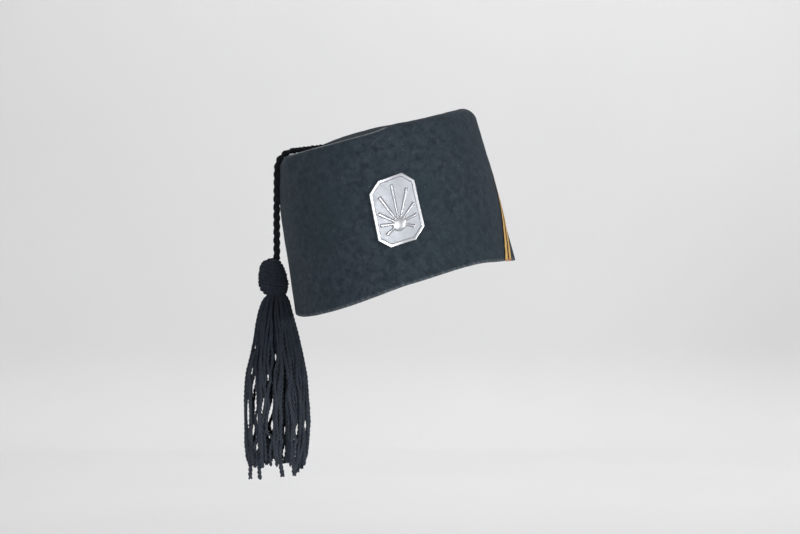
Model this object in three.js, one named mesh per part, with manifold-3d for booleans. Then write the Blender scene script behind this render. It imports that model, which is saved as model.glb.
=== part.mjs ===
// A felt fez in the form it has when worn: a hollow crown that leans to one side, a cord that comes out of
// the middle of the top and hangs over the edge, a yarn tassel, a metal badge and a striped ribbon.
// Millimetres, Z up, Y towards the back of the head. The origin is the middle of the rim's plane.
import * as THREE from "three";
import { mergeVertices } from "three/addons/utils/BufferGeometryUtils.js";
import Module from "manifold-3d";

const wasm = await Module();
wasm.setup();

const GAP = 0.3; // between pieces that touch

// Crown
const LEAN_DEG = 13.5; // the wearer's right side hangs lower by this angle
const RIM_WIDTH = 170; // outside, from ear to ear
const RIM_DEPTH = 202; // outside, from brow to nape
const CROWN_HEIGHT = 120;
const FELT = 2.5;
const EDGE_RADIUS = 11; // of the rounded edge round the top
const DISH_DEPTH = 9; // the top's middle lies this far below its edge
const CROWN_SIDES = 56;
const EDGE_TURNS_DEG = [22, 45, 68, 90]; // rings round the edge
const TOP_RINGS = [0.75, 0.5, 0.25]; // on the dished top, as shares of its radius

// Badge
const BADGE_WIDTH = 34;
const BADGE_HEIGHT = 52;
const BADGE_PLATE = 1.1;
const BADGE_RELIEF = 0.9; // the border, ribs and boss stand up by this
const BADGE_BORDER = 2.2;
const BADGE_CORNER = 8; // cut off each corner of the plate
const BOSS_RADIUS = 5.5;
const BOSS_LEVEL = 0.3; // its middle, as a share of the badge's height
const RIB_WIDTH = 3.2; // at its outer end
const RIB_ROOT = 1.4; // at the boss
const BADGE_TURN_DEG = 4; // round the crown, towards the wearer's left
const BADGE_LEVEL = 0.476; // its middle, as a share of the crown's height
const BADGE_STRIPS = 8; // flat strips that the bent plate is made of

// Pin that holds the badge
const PIN_RADIUS = 1.5;
const PIN_PLATE_RADIUS = 7;
const PIN_PLATE = 1.5;
const PIN_PLATE_GAP = 0.7; // from the felt at the middle of its hollow side

// Ribbon
const RIBBON_WIDTH = 12;
const RIBBON_THICKNESS = 0.9;
const RIBBON_FOOT_DEG = 67.5; // where its front leg meets the rim, from the front towards the wearer's left
const RIBBON_APEX_DEG = 97; // where its two legs meet
const RIBBON_RISE = 75; // of the middle line at the apex, above the rim
const RIBBON_HEM = 1.5; // from the rim to the ribbon's ends
const RIBBON_STEPS = 12; // in each leg

// Cord
const CORD_DIAMETER = 4.5;
const CORD_SIDES = 8;
const CORD_STEPS = 60;
const CORD_HOLE_LENGTH = 15; // along the cord, from its end in the crown
const KNOT_WIDTH = 8.6;
const KNOT_HEIGHT = 7;
const KNOT_GRIP = 1.3; // the cord's end stands this deep in the knot

// Tassel
const HEAD_WIDTH = 23;
const HEAD_DEPTH = 22;
const HEAD_HEIGHT = 26;
const HEAD_SIDES = 16;
const SKIRT_WIDTH = 44; // to the middle of its outer locks, where it is widest
const SKIRT_DEPTH = 36;
const SKIRT_LENGTH = 139; // from the neck to the lowest end
const LOCK_WIDTH = 7.4;
const LOCK_THICKNESS = 5.6;
const LOCK_STEPS = 7;
const LOCK_ROOT = 4; // the locks start this far up in the head
const LOCK_WAVE = 1.2; // their sideways bends
const LOCK_WAVE_TURNS = 1.4; // how many such bends a lock has
const LOCK_STAGGER = 2.4; // in radians, from one lock's length to the next one's
const LOCK_ROOT_SIZE = 0.55; // a lock's thickness at the neck, as a share
const LOCK_END_SIZE = 0.6;
const LOCK_FULL_DROP = 0.3; // where a lock reaches its full thickness

// The wall, from the rim up to the rounded edge. Heights are shares of the crown's height, widths and shifts
// shares of the rim's width, depths shares of the rim's depth. A shift moves a section to the wearer's left.
const CROWN_SECTIONS = [
  { height: 0.0, width: 1.0, depth: 1.0, shift: 0.0 },
  { height: 0.17, width: 0.984, depth: 0.972, shift: 0.003 },
  { height: 0.33, width: 0.97, depth: 0.946, shift: 0.008 },
  { height: 0.5, width: 0.956, depth: 0.918, shift: 0.011 },
  { height: 0.67, width: 0.938, depth: 0.89, shift: 0.016 },
  { height: 0.8, width: 0.918, depth: 0.868, shift: 0.022 },
  { height: 0.91, width: 0.893, depth: 0.848, shift: 0.03 },
];

// How far the rim and the top edge wave up, as shares of the crown's height. Angles run from the front
// towards the wearer's left.
const CROWN_WAVES = [
  { angle: -130, rim: 0.0, top: -0.034 },
  { angle: -90, rim: 0.0, top: -0.034 },
  { angle: -64, rim: -0.02, top: -0.033 },
  { angle: -43, rim: -0.012, top: -0.0285 },
  { angle: -28, rim: 0.004, top: -0.0275 },
  { angle: -14, rim: 0.025, top: -0.024 },
  { angle: 0, rim: 0.047, top: -0.0205 },
  { angle: 11, rim: 0.054, top: -0.004 },
  { angle: 30, rim: 0.065, top: -0.0115 },
  { angle: 45, rim: 0.06, top: -0.0105 },
  { angle: 60, rim: 0.036, top: -0.0075 },
  { angle: 76, rim: 0.018, top: -0.005 },
  { angle: 90, rim: 0.0, top: -0.002 },
  { angle: 130, rim: 0.01, top: -0.006 },
  { angle: 165, rim: 0.02, top: 0.0 },
  { angle: 180, rim: 0.015, top: 0.0085 },
  { angle: 193, rim: 0.008, top: 0.006 },
  { angle: 205, rim: 0.0, top: -0.001 },
  { angle: 217, rim: 0.0, top: -0.016 },
];

// The tassel's head, from its top down, and the skirt, from the neck down. Drops are shares of the head's
// height or the skirt's length, and widths and shifts shares of the head's or the skirt's width.
const HEAD_SECTIONS = [
  { drop: 0.0, width: 0.22, shift: 0.0 },
  { drop: 0.04, width: 0.44, shift: -0.1 },
  { drop: 0.15, width: 0.7, shift: -0.14 },
  { drop: 0.34, width: 0.9, shift: -0.13 },
  { drop: 0.52, width: 0.98, shift: -0.12 },
  { drop: 0.7, width: 1.0, shift: -0.12 },
  { drop: 0.84, width: 0.95, shift: -0.11 },
  { drop: 0.94, width: 0.82, shift: -0.08 },
  { drop: 1.0, width: 0.66, shift: -0.04 },
];
const SKIRT_SECTIONS = [
  { drop: 0.0, width: 0.25, shift: 0.0 },
  { drop: 0.03, width: 0.4, shift: -0.015 },
  { drop: 0.08, width: 0.5, shift: -0.024 },
  { drop: 0.16, width: 0.59, shift: -0.02 },
  { drop: 0.27, width: 0.69, shift: -0.006 },
  { drop: 0.38, width: 0.84, shift: -0.012 },
  { drop: 0.47, width: 0.92, shift: -0.012 },
  { drop: 0.61, width: 0.98, shift: -0.006 },
  { drop: 0.73, width: 1.0, shift: 0.0 },
  { drop: 0.83, width: 0.97, shift: -0.004 },
  { drop: 1.0, width: 0.84, shift: -0.012 },
];

// Rings of locks in the skirt: how many, how far out as a share of the skirt's sections, and how much longer
// or shorter each lock is than its neighbours, as a share of the skirt's length.
const LOCK_RINGS = [
  { count: 17, reach: 1.0, uneven: 0.07, fullness: 1.0 },
  { count: 9, reach: 0.52, uneven: 0.05, fullness: 1.3 },
];

// The badge's ribs fan out from the boss. Turns are degrees from straight up, and lengths are shares of the
// badge's height.
const BADGE_RIBS = [
  { turn: -118, length: 0.22 },
  { turn: -78, length: 0.26 },
  { turn: -48, length: 0.34 },
  { turn: -23, length: 0.5 },
  { turn: 0, length: 0.58 },
  { turn: 23, length: 0.5 },
  { turn: 48, length: 0.34 },
  { turn: 78, length: 0.26 },
  { turn: 118, length: 0.22 },
];

// The cord's middle line, from the knot inside the crown, up through the top, over the edge and down to the
// tassel. These points are chosen by hand.
const CORD_ROUTE = [
  [-15.6, 0.9, 105.7],
  [-18.7, 0.4, 107.6],
  [-20.8, 0.0, 108.9],
  [-23.6, -0.4, 110.2],
  [-26.7, -0.9, 110.7],
  [-29.7, -1.5, 110.4],
  [-33.8, -2.1, 109.4],
  [-39.0, -3.0, 108.1],
  [-46.6, -4.3, 106.7],
  [-54.5, -5.6, 105.4],
  [-62.4, -6.9, 104.4],
  [-70.3, -8.2, 103.5],
  [-77.2, -9.3, 102.9],
  [-82.6, -10.2, 102.5],
  [-88.1, -11.0, 101.1],
  [-92.0, -11.6, 98.3],
  [-94.7, -12.0, 94.0],
  [-95.7, -12.2, 88.6],
  [-95.8, -12.4, 80.0],
  [-95.9, -12.5, 66.0],
  [-96.0, -12.5, 52.0],
  [-96.0, -12.5, 38.0],
  [-96.0, -12.5, 21.3],
];

const radians = THREE.MathUtils.degToRad;
const lean = new THREE.Group(); // everything that leans with the crown
lean.rotation.y = -radians(LEAN_DEG);
const fez = new THREE.Group();
fez.add(lean);

// One column of a table, read in a straight line between its rows.
function readBetween(table, key, column, at) {
  const last = table.length - 1;
  const low = Math.max(0, table.findLastIndex((row) => row[key] <= at));
  if (low >= last) return table[last][column];
  const [a, b] = [table[low], table[low + 1]];
  const share = Math.max(0, (at - a[key]) / (b[key] - a[key]));
  return a[column] + (b[column] - a[column]) * share;
}

// A column of the waves at an angle, eased between its rows, all the way round.
function wave(column, degrees) {
  const first = CROWN_WAVES[0].angle;
  const turned = first + ((((degrees - first) % 360) + 360) % 360);
  const rows = [...CROWN_WAVES, { ...CROWN_WAVES[0], angle: first + 360 }];
  const high = rows.findIndex((row) => row.angle > turned);
  const [a, b] = [rows[high - 1], rows[high]];
  const share = (turned - a.angle) / (b.angle - a.angle);
  return a[column] + ((b[column] - a[column]) * (1 - Math.cos(Math.PI * share))) / 2;
}

// A point on the crown. Height is a share from the rim to the rounded edge's start; turnIn, in degrees, then
// goes round that edge, and spread from 1 to 0 goes from the edge to the middle of the top. Inset moves it
// inwards.
function crownPoint(degrees, height, turnIn = 0, spread = 1, inset = 0) {
  const angle = radians(degrees);
  const radius = EDGE_RADIUS - inset;
  const back = radius * (1 - Math.cos(radians(turnIn))) + inset;
  const read = (column) => readBetween(CROWN_SECTIONS, "height", column, height);
  const across = ((RIM_WIDTH * read("width")) / 2 - back) * spread;
  const along = ((RIM_DEPTH * read("depth")) / 2 - back) * spread;
  const lift = wave("rim", degrees) * (1 - height) + wave("top", degrees) * height * spread ** 2;
  const dish = DISH_DEPTH * (1 - spread ** 2);
  return new THREE.Vector3(
    RIM_WIDTH * read("shift") + across * Math.sin(angle),
    -along * Math.cos(angle),
    CROWN_HEIGHT * (height + lift) + radius * Math.sin(radians(turnIn)) - dish,
  );
}

// The direction straight out of the crown's wall.
function wallNormal(degrees, height) {
  const round = crownPoint(degrees + 1, height).sub(crownPoint(degrees - 1, height));
  const up = crownPoint(degrees, height + 0.04).sub(crownPoint(degrees, height - 0.04));
  return round.cross(up).normalize();
}

// A point near the wall. It lies across from a middle line at an angle, up from the rim and out from the
// felt.
function onWall(middleDeg, across, up, out) {
  const perDegree = crownPoint(middleDeg + 1, 0.5).distanceTo(crownPoint(middleDeg - 1, 0.5)) / 2;
  const degrees = middleDeg + across / perDegree;
  const height = up / CROWN_HEIGHT;
  return crownPoint(degrees, height).addScaledVector(wallNormal(degrees, height), out);
}

// A closed surface through rings of equally many points, with a point at each end. The rings turn as a
// right-handed screw does on its way from the first to the last.
function ringSurface(rings, firstPole, lastPole) {
  const sides = rings[0].length;
  const points = [firstPole, ...rings.flat(), lastPole];
  const index = [];
  const at = (ring, side) => 1 + ring * sides + (side % sides);
  for (let side = 0; side < sides; side++) {
    index.push(0, at(0, side + 1), at(0, side));
    for (let ring = 0; ring + 1 < rings.length; ring++) {
      index.push(at(ring, side), at(ring, side + 1), at(ring + 1, side + 1));
      index.push(at(ring, side), at(ring + 1, side + 1), at(ring + 1, side));
    }
    index.push(at(rings.length - 1, side), at(rings.length - 1, side + 1), points.length - 1);
  }
  const geometry = new THREE.BufferGeometry().setFromPoints(points);
  geometry.setIndex(index);
  return geometry;
}

function middleOf(points) {
  return points.reduce((sum, point) => sum.add(point), new THREE.Vector3()).divideScalar(points.length);
}

function cappedRings(rings) {
  return ringSurface(rings, middleOf(rings[0]), middleOf(rings.at(-1)));
}

// Between a geometry and a solid that can be joined or cut.
function solid(geometry) {
  const bare = new THREE.BufferGeometry();
  bare.setAttribute("position", geometry.getAttribute("position"));
  if (geometry.index) bare.setIndex(geometry.index);
  const merged = mergeVertices(bare, 1e-4);
  const vertProperties = new Float32Array(merged.attributes.position.array);
  const triVerts = new Uint32Array(merged.index.array);
  return new wasm.Manifold(new wasm.Mesh({ numProp: 3, vertProperties, triVerts }));
}

function geometryOf(made) {
  const mesh = made.getMesh();
  const geometry = new THREE.BufferGeometry();
  geometry.setAttribute("position", new THREE.BufferAttribute(mesh.vertProperties, 3));
  geometry.setIndex(new THREE.BufferAttribute(mesh.triVerts, 1));
  return geometry;
}

function addPiece(group, name, geometry, color, roughness, metalness) {
  const shaded = geometry.index ? geometry.toNonIndexed() : geometry;
  shaded.computeVertexNormals();
  const mesh = new THREE.Mesh(shaded, new THREE.MeshStandardMaterial({ color, roughness, metalness }));
  mesh.name = name;
  group.add(mesh);
}

// A round bar along its own Z, from one height to another.
function bar(radius, from, to) {
  const cylinder = new THREE.CylinderGeometry(radius, radius, to - from, 20);
  return cylinder.rotateX(Math.PI / 2).translate(0, 0, (from + to) / 2);
}

// A tube round the cord's route, from its start, over a length of it or the whole of it.
function cordTube(diameter, length) {
  const route = CORD_ROUTE.map((point) => new THREE.Vector3(...point));
  const whole = new THREE.CatmullRomCurve3(route, false, "centripetal");
  const share = length ? length / whole.getLength() : 1;
  const steps = Math.ceil(CORD_STEPS * share);
  const points = Array.from({ length: steps + 1 }, (_, step) => whole.getPointAt((share * step) / steps));
  const corners = Array.from({ length: CORD_SIDES }, (_, side) => {
    const angle = (2 * Math.PI * (side + 0.5)) / CORD_SIDES;
    return new THREE.Vector2(Math.cos(angle), Math.sin(angle)).multiplyScalar(diameter / 2);
  });
  const extrudePath = new THREE.CatmullRomCurve3(points, false, "centripetal");
  return new THREE.ExtrudeGeometry(new THREE.Shape(corners), { steps, extrudePath, bevelEnabled: false });
}

// The badge's middle on the felt, with Z straight out of it and Y up the wall.
function badgePlace() {
  const out = wallNormal(BADGE_TURN_DEG, BADGE_LEVEL);
  const across = new THREE.Vector3(0, 0, 1).cross(out).normalize();
  const up = out.clone().cross(across);
  return new THREE.Matrix4().makeBasis(across, up, out).setPosition(crownPoint(BADGE_TURN_DEG, BADGE_LEVEL));
}

function makeCrown() {
  const angles = Array.from({ length: CROWN_SIDES }, (_, side) => (side * 360) / CROWN_SIDES);
  const top = CROWN_SECTIONS.at(-1).height;
  const skin = (inset) => [
    ...CROWN_SECTIONS.map((row) => angles.map((angle) => crownPoint(angle, row.height, 0, 1, inset))),
    ...EDGE_TURNS_DEG.map((turn) => angles.map((angle) => crownPoint(angle, top, turn, 1, inset))),
    ...TOP_RINGS.map((spread) => angles.map((angle) => crownPoint(angle, top, 90, spread, inset))),
  ];
  const middle = (inset) => crownPoint(0, top, 90, 0, inset);
  const shell = ringSurface([...skin(FELT).reverse(), ...skin(0)], middle(FELT), middle(0));
  const pinHole = bar(PIN_RADIUS + GAP, -3 * FELT, 2 * FELT).applyMatrix4(badgePlace());
  const upright = new THREE.Matrix4().makeRotationY(radians(LEAN_DEG));
  const holeWidth = (CORD_DIAMETER + 2 * GAP) / Math.cos(Math.PI / CORD_SIDES); // between its flat sides
  const cordHole = cordTube(holeWidth, CORD_HOLE_LENGTH).applyMatrix4(upright);
  const cut = solid(shell).subtract(solid(pinHole)).subtract(solid(cordHole));
  addPiece(lean, "crown", geometryOf(cut), 0x343c44, 0.95, 0);
}

// The badge's plate, or the smaller field inside its border, between two distances from the felt.
function badgePlate(border, from, to) {
  const halfWidth = BADGE_WIDTH / 2 - border;
  const halfHeight = BADGE_HEIGHT / 2 - border;
  const corner = BADGE_CORNER - border * (2 - Math.SQRT2);
  const flat = Array.from({ length: BADGE_STRIPS + 1 }, (_, strip) =>
    (halfWidth - corner) * ((2 * strip) / BADGE_STRIPS - 1));
  const cut = [halfWidth - corner / 2, halfWidth];
  const sides = [...cut.map((across) => -across).reverse(), ...flat, ...cut];
  const rings = sides.map((across) => {
    const reach = halfHeight - Math.max(0, Math.abs(across) - (halfWidth - corner));
    return wallRing(BADGE_TURN_DEG, across, BADGE_LEVEL * CROWN_HEIGHT, reach, from, to);
  });
  return cappedRings(rings);
}

// A slice through something that lies on the wall, with a row of points halfway up.
function wallRing(middleDeg, across, up, reach, from, to) {
  const corner = (side, out) => onWall(middleDeg, across, up + side * reach, out);
  return [corner(1, from), corner(1, to), corner(0, to), corner(-1, to), corner(-1, from), corner(0, from)];
}

// One rib of the badge, from the boss outwards, wider at its outer end.
function badgeRib({ turn, length }, from, to) {
  const bossUp = BADGE_LEVEL * CROWN_HEIGHT + (BOSS_LEVEL - 0.5) * BADGE_HEIGHT;
  const [side, rise] = [Math.sin(radians(turn)), Math.cos(radians(turn))];
  const rings = [0, 0.5, 1].map((share) => {
    const far = BOSS_RADIUS / 2 + (length * BADGE_HEIGHT - BOSS_RADIUS / 2) * share;
    const half = (RIB_ROOT + (RIB_WIDTH - RIB_ROOT) * share) / 2;
    const corner = (sign, out) =>
      onWall(BADGE_TURN_DEG, far * side + sign * half * rise, bossUp + far * rise - sign * half * side, out);
    return [corner(1, from), corner(-1, from), corner(-1, to), corner(1, to)];
  });
  return cappedRings(rings);
}

function makeBadge() {
  const [back, face, peak] = [GAP, GAP + BADGE_PLATE, GAP + BADGE_PLATE + BADGE_RELIEF];
  const inside = (back + face) / 2;
  const field = solid(badgePlate(BADGE_BORDER, inside, peak + GAP));
  const border = solid(badgePlate(0, inside, peak)).subtract(field);
  const bossUp = new THREE.Matrix4().makeTranslation(0, (BOSS_LEVEL - 0.5) * BADGE_HEIGHT, 0);
  const boss = new THREE.SphereGeometry(BOSS_RADIUS, 16, 8)
    .scale(1, 1, BADGE_PLATE / BOSS_RADIUS)
    .translate(0, 0, face)
    .applyMatrix4(bossUp)
    .applyMatrix4(badgePlace());
  let badge = solid(badgePlate(0, back, face)).add(border).add(solid(boss));
  for (const rib of BADGE_RIBS) badge = badge.add(solid(badgeRib(rib, inside, peak)));
  addPiece(lean, "badge", geometryOf(badge), 0xc9cdd2, 0.25, 1);
}

// The post ends just behind the badge, and the round plate on it lies inside the crown.
function makeBadgePin() {
  const plateTop = -FELT - PIN_PLATE_GAP;
  const post = solid(bar(PIN_RADIUS, plateTop - PIN_PLATE / 2, 0));
  const plate = solid(bar(PIN_PLATE_RADIUS, plateTop - PIN_PLATE, plateTop));
  addPiece(lean, "badge_pin", geometryOf(post.add(plate)).applyMatrix4(badgePlace()), 0xb0b4b8, 0.35, 1);
}

// Two straight legs up from the rim that meet in a point, cut level just above the rim.
function makeRibbon() {
  const apex = onWall(RIBBON_APEX_DEG, 0, CROWN_HEIGHT / 2, 0);
  const perDegree = onWall(RIBBON_APEX_DEG + 1, 0, CROWN_HEIGHT / 2, 0).distanceTo(apex);
  const foot = (RIBBON_APEX_DEG - RIBBON_FOOT_DEG) * perDegree;
  const slope = RIBBON_RISE / foot;
  const upright = (RIBBON_WIDTH / 2) * Math.hypot(1, slope); // half the ribbon, measured straight up
  const end = foot + (upright - RIBBON_HEM) / slope;
  const inner = foot - (upright + RIBBON_HEM) / slope; // where the lower edge meets the level cut
  const tip = inner + (end - inner) * 0.97;
  const legs = [tip, (tip + inner) / 2, ...Array.from({ length: RIBBON_STEPS + 1 }, (_, step) =>
    inner * (1 - step / RIBBON_STEPS))];
  const stations = [...legs.map((place) => -place), ...legs.slice(0, -1).reverse()];
  const rings = stations.map((across) => {
    const middle = RIBBON_RISE - Math.abs(across) * slope;
    const low = Math.max(RIBBON_HEM, middle - upright);
    const high = middle + upright;
    return wallRing(RIBBON_APEX_DEG, across, (low + high) / 2, (high - low) / 2, GAP, GAP + RIBBON_THICKNESS);
  });
  addPiece(lean, "ribbon", cappedRings(rings), 0x8a6a4c, 0.8, 0);
}

function makeCord() {
  addPiece(fez, "tassel_cord", cordTube(CORD_DIAMETER), 0x17181b, 0.85, 0);
}

// A plain round knot, with a socket that the cord's end stands in.
function makeKnot() {
  const [start, next] = CORD_ROUTE.map((point) => new THREE.Vector3(...point));
  const along = next.sub(start).normalize();
  const turned = new THREE.Quaternion().setFromUnitVectors(new THREE.Vector3(0, 0, 1), along);
  const place = new THREE.Matrix4().compose(start, turned, new THREE.Vector3(1, 1, 1));
  const ball = new THREE.SphereGeometry(KNOT_WIDTH / 2, 16, 10)
    .scale(1, 1, KNOT_HEIGHT / KNOT_WIDTH)
    .translate(0, 0, KNOT_GRIP - KNOT_HEIGHT / 2);
  const socket = bar(CORD_DIAMETER / 2 + GAP, -GAP, KNOT_HEIGHT);
  const knot = solid(ball).subtract(solid(socket));
  addPiece(fez, "cord_knot", geometryOf(knot).applyMatrix4(place), 0x17181b, 0.9, 0);
}

// One lock of the skirt: a flat bar of yarn that starts in the head and follows the skirt's sections down.
function tasselLock(neck, turn, { reach, fullness }, length, phase) {
  const [out, side] = [
    new THREE.Vector3(Math.cos(turn), Math.sin(turn), 0),
    new THREE.Vector3(-Math.sin(turn), Math.cos(turn), 0),
  ];
  const rings = Array.from({ length: LOCK_STEPS + 1 }, (_, step) => {
    const down = ((SKIRT_LENGTH * length + LOCK_ROOT) * step) / LOCK_STEPS - LOCK_ROOT;
    const drop = Math.max(0, down / SKIRT_LENGTH);
    const half = (SKIRT_WIDTH * reach * readBetween(SKIRT_SECTIONS, "drop", "width", drop)) / 2;
    const middle = new THREE.Vector3(
      neck.x + SKIRT_WIDTH * readBetween(SKIRT_SECTIONS, "drop", "shift", drop) + half * out.x,
      neck.y + ((half * SKIRT_DEPTH) / SKIRT_WIDTH) * out.y,
      neck.z - down,
    );
    middle.addScaledVector(side, LOCK_WAVE * drop * Math.sin(2 * Math.PI * LOCK_WAVE_TURNS * drop + phase));
    const swell = LOCK_ROOT_SIZE + (1 - LOCK_ROOT_SIZE) * Math.min(1, drop / LOCK_FULL_DROP);
    const size = (step === LOCK_STEPS ? LOCK_END_SIZE : swell) * fullness;
    return Array.from({ length: 6 }, (_, corner) => {
      const angle = (Math.PI * corner) / 3;
      return middle
        .clone()
        .addScaledVector(side, (Math.cos(angle) * LOCK_WIDTH * size) / 2)
        .addScaledVector(out, (Math.sin(angle) * LOCK_THICKNESS * size) / 2);
    });
  });
  return cappedRings(rings);
}

// The wound head hangs from the cord's end, and the locks of yarn spread from its neck.
function makeTassel() {
  const [x, y, cordEnd] = CORD_ROUTE.at(-1);
  const headTop = cordEnd - GAP;
  const neck = new THREE.Vector3(x, y, headTop - HEAD_HEIGHT);
  const rings = HEAD_SECTIONS.map(({ drop, width, shift }) =>
    Array.from({ length: HEAD_SIDES }, (_, side) => {
      const angle = (-2 * Math.PI * side) / HEAD_SIDES;
      const across = shift * HEAD_WIDTH + (width * HEAD_WIDTH * Math.cos(angle)) / 2;
      const along = (width * HEAD_DEPTH * Math.sin(angle)) / 2;
      return new THREE.Vector3(x + across, y + along, headTop - HEAD_HEIGHT * drop);
    }));
  let tassel = solid(cappedRings(rings));
  for (const ring of LOCK_RINGS) {
    for (let place = 0; place < ring.count; place++) {
      const turn = (2 * Math.PI * (place + ring.reach)) / ring.count;
      const length = 1 - ring.uneven * (1 - Math.cos(LOCK_STAGGER * place));
      tassel = tassel.add(solid(tasselLock(neck, turn, ring, length, LOCK_STAGGER * place)));
    }
  }
  addPiece(fez, "tassel", geometryOf(tassel), 0x22262d, 0.9, 0);
}

makeCrown();
makeBadge();
makeBadgePin();
makeRibbon();
makeKnot();
makeCord();
makeTassel();

export default fez;
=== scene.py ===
# A felt fez as it is worn, with a plaited cord, a yarn tassel, a metal plaque and a striped ribbon.
import math
import random

import bpy
import numpy as np
from mathutils import Matrix, Vector, noise
from mathutils.kdtree import KDTree


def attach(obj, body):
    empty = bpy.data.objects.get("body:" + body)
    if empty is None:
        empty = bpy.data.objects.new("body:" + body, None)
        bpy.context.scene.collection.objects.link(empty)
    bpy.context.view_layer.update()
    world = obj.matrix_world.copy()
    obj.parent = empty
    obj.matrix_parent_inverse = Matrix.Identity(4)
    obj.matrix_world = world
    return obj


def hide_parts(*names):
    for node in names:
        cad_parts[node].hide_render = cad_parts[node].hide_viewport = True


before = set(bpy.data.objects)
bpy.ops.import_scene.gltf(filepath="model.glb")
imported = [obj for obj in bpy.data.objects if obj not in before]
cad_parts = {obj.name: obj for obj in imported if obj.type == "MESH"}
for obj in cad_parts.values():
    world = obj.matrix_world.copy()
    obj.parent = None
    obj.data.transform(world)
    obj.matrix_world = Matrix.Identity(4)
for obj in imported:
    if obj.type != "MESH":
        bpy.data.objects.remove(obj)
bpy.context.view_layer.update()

dice = random.Random(7)
mm = 0.001
plyReach = 0.52  # where a ply's middle runs, as a share of the yarn's half thickness


# Small helpers
def clearSelection():
    if bpy.context.mode != "OBJECT":
        objectMode()
    bpy.ops.object.select_all(action="DESELECT")


def pick(*pieces):
    clearSelection()
    for piece in pieces:
        piece.select_set(True)
    bpy.context.view_layer.objects.active = pieces[0]
    return pieces[0]


def objectMode():
    bpy.ops.object.mode_set(mode="OBJECT")


def editAll(piece):  # opens the piece for editing, with all of it selected
    pick(piece)
    bpy.ops.object.mode_set(mode="EDIT")
    bpy.ops.mesh.select_mode(type="VERT")
    bpy.ops.mesh.select_all(action="SELECT")


def editWhere(piece, kind, test):  # the same, with only those parts selected that pass the test
    editAll(piece)
    bpy.ops.mesh.select_mode(type=kind)
    bpy.ops.mesh.select_all(action="DESELECT")
    objectMode()
    for item in {"VERT": piece.data.vertices, "EDGE": piece.data.edges, "FACE": piece.data.polygons}[kind]:
        item.select = test(item)
    bpy.ops.object.mode_set(mode="EDIT")


def outwards():  # turns all faces of the open piece outwards and closes it
    bpy.ops.mesh.select_all(action="SELECT")
    bpy.ops.mesh.normals_make_consistent(inside=False)
    objectMode()


def extruded(*way):
    bpy.ops.mesh.extrude_region_move(TRANSFORM_OT_translate={"value": way})


def addBevel(piece, width, segments, degrees):
    cut = piece.modifiers.new("rounded", "BEVEL")
    cut.width, cut.segments = width, segments
    cut.limit_method, cut.angle_limit = "ANGLE", math.radians(degrees)


def applyAll(piece):
    pick(piece)
    for modifier in list(piece.modifiers):
        bpy.ops.object.modifier_apply(modifier=modifier.name)
    return piece


def joined(name, *pieces):
    piece = pick(*pieces)
    if len(pieces) > 1:
        bpy.ops.object.join()
    piece.name = piece.data.name = name
    return piece


def placed(piece):
    pick(piece)
    bpy.ops.object.transform_apply(location=True, rotation=True, scale=True)
    return piece


def coordinates(piece):
    flat = np.zeros(len(piece.data.vertices) * 3)
    piece.data.vertices.foreach_get("co", flat)
    return flat.reshape(-1, 3)


def moveVertices(piece, points):
    piece.data.vertices.foreach_set("co", np.asarray(points, float).ravel())
    piece.data.update()


def addMask(piece, name, values):
    mask = piece.data.attributes.new(name, "FLOAT", "POINT")
    mask.data.foreach_set("value", np.asarray(values, np.float32))


def eased(share):
    share = np.clip(share, 0, 1)
    return share * share * (3 - 2 * share)


def readSmooth(rows, column, at):  # rows start with the place that they stand at
    if at <= rows[0][0]:
        return rows[0][column]
    if at >= rows[-1][0]:
        return rows[-1][column]
    low = max(k for k, row in enumerate(rows) if row[0] <= at)
    (xa, ya), (xb, yb) = ((rows[k][0], rows[k][column]) for k in (low, low + 1))
    slope = before = after = (yb - ya) / (xb - xa)
    if low > 0:
        before = (ya - rows[low - 1][column]) / (xa - rows[low - 1][0])
    if low + 2 < len(rows):
        after = (rows[low + 2][column] - yb) / (rows[low + 2][0] - xb)
    t, wide = (at - xa) / (xb - xa), xb - xa
    ma, mb = (before + slope) / 2 * wide, (slope + after) / 2 * wide
    return ((2 * t**3 - 3 * t**2 + 1) * ya + (t**3 - 2 * t**2 + t) * ma
            + (3 * t**2 - 2 * t**3) * yb + (t**3 - t**2) * mb)


def evenly(points, step):
    points = np.asarray(points, float)
    along = np.concatenate([[0], np.cumsum(np.linalg.norm(np.diff(points, axis=0), axis=1))])
    at = np.linspace(0, along[-1], int(math.ceil(along[-1] / step)) + 1)
    return np.stack([np.interp(at, along, points[:, k]) for k in range(3)], axis=1)


def smoothLine(points, step):  # the same smooth curve through the points as in the part's source
    points = [Vector(p) for p in points]
    points = [2 * points[0] - points[1], *points, 2 * points[-1] - points[-2]]
    line = []
    for a, b, c, d in zip(points, points[1:], points[2:], points[3:]):
        ta, tb, tc = (math.sqrt((q - p).length) for p, q in ((a, b), (b, c), (c, d)))
        ma = ((b - a) / ta - (c - a) / (ta + tb) + (c - b) / tb) * tb
        mb = ((c - b) / tb - (d - b) / (tb + tc) + (d - c) / tc) * tb
        for k in range(32):
            t = k / 32
            line.append(b * (2 * t**3 - 3 * t**2 + 1) + ma * (t**3 - 2 * t**2 + t)
                        + c * (3 * t**2 - 2 * t**3) + mb * (t**3 - t**2))
    line.append(points[-2])
    return evenly(line, step)


def frameAlong(line, side):  # two directions across the line at each point, turned as little as can be
    along = np.gradient(line, axis=0)
    along /= np.linalg.norm(along, axis=1)[:, None]
    across, side = [], np.array(side, float)
    for t in along:
        side = side - t * (side @ t)
        side /= np.linalg.norm(side)
        across.append(side)
    across = np.array(across)
    return across, np.cross(along, across)


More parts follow.
